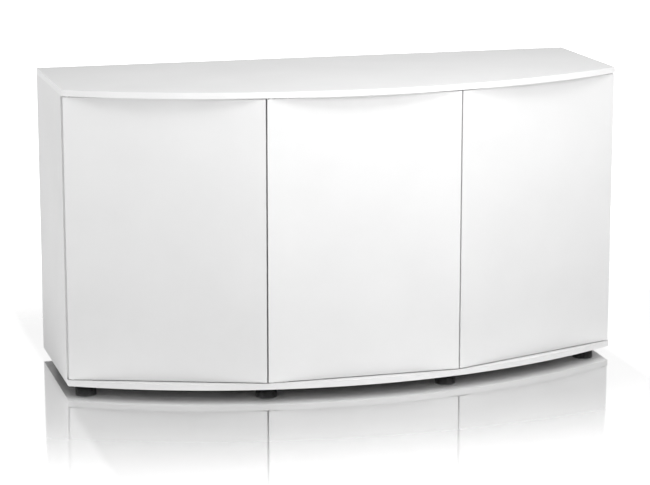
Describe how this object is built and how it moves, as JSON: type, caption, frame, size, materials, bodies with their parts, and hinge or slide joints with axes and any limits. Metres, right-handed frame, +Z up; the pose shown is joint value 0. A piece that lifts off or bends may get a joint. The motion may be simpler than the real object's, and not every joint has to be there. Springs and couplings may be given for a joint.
{
  "type": "aquarium cabinet",
  "caption": "Bow-front aquarium cabinet with flat pivot-hung doors on push latches, inner shelves, hose openings and round feet.",
  "frame": {"origin": "middle of the footprint on the floor, the bottom centre of the bounding box", "axes": "+X to the right seen from the front, +Y to the back, +Z up; the bowed front with the doors faces -Y"},
  "size_m": [1.51, 0.6, 0.8],
  "materials": {
    "melamine": "white melamine-faced chipboard, fine satin grain",
    "door_melamine": "white melamine-faced chipboard, smooth satin",
    "edging": "white edging strip, satin gloss",
    "zinc_steel": "zinc-plated",
    "hinge_steel": "nickel-plated, brushed",
    "grey_plastic": "grey moulded plastic",
    "latch_plastic": "light grey moulded plastic",
    "plunger_plastic": "grey moulded plastic",
    "white_nylon": "natural nylon",
    "foot_plastic": "black moulded plastic"
  },
  "bodies": {
    "cabinet": {"top_plate": "melamine", "top_edging": "edging", "base_plate": "melamine", "base_edging": "edging", "side_left": "melamine", "side_right": "melamine", "partition_left": "melamine", "partition_right": "melamine", "back_left": "melamine", "back_centre": "melamine", "back_right": "melamine", "shelf_left": "melamine", "shelf_centre": "melamine", "shelf_right": "melamine", "shelf_pins": "zinc_steel", "cam_locks": "zinc_steel", "cam_bolts": "zinc_steel", "hose_grommets": "grey_plastic", "feet": "foot_plastic", "foot_screws": "zinc_steel", "frame_leaves": "hinge_steel", "frame_leaf_screws": "zinc_steel", "pivot_washers": "white_nylon", "latch_cases": "latch_plastic", "latch_screws": "zinc_steel"},
    "door_left": {"door_left": "door_melamine", "leaves_left": "hinge_steel", "leaf_screws_left": "zinc_steel", "strike_left": "hinge_steel"},
    "door_centre": {"door_centre": "door_melamine", "leaves_centre": "hinge_steel", "leaf_screws_centre": "zinc_steel", "strike_centre": "hinge_steel"},
    "door_right": {"door_right": "door_melamine", "leaves_right": "hinge_steel", "leaf_screws_right": "zinc_steel", "strike_right": "hinge_steel"},
    "plunger_left": {"plunger_left": "plunger_plastic"},
    "plunger_centre": {"plunger_centre": "plunger_plastic"},
    "plunger_right": {"plunger_right": "plunger_plastic"}
  },
  "joints": [
    {"name": "left_door_hinge", "type": "hinge", "parent": "cabinet", "child": "door_left", "pos_m": [-0.74202, -0.10327, 0], "axis": [0, 0, -1], "range_deg": [0, 105]},
    {"name": "centre_door_hinge", "type": "hinge", "parent": "cabinet", "child": "door_centre", "pos_m": [-0.24957, -0.2728, 0], "axis": [0, 0, -1], "range_deg": [0, 105]},
    {"name": "right_door_hinge", "type": "hinge", "parent": "cabinet", "child": "door_right", "pos_m": [0.74202, -0.10327, 0], "axis": [0, 0, 1], "range_deg": [0, 105]},
    {"name": "left_latch_push", "type": "slide", "parent": "cabinet", "child": "plunger_left", "axis": [0.3322, 0.9432, 0], "range_m": [0, 0.002], "stiffness_N_per_m": 400, "springref_m": -0.001},
    {"name": "centre_latch_push", "type": "slide", "parent": "cabinet", "child": "plunger_centre", "axis": [0, 1, 0], "range_m": [0, 0.002], "stiffness_N_per_m": 400, "springref_m": -0.001},
    {"name": "right_latch_push", "type": "slide", "parent": "cabinet", "child": "plunger_right", "axis": [-0.3322, 0.9432, 0], "range_m": [0, 0.002], "stiffness_N_per_m": 400, "springref_m": -0.001}
  ]
}
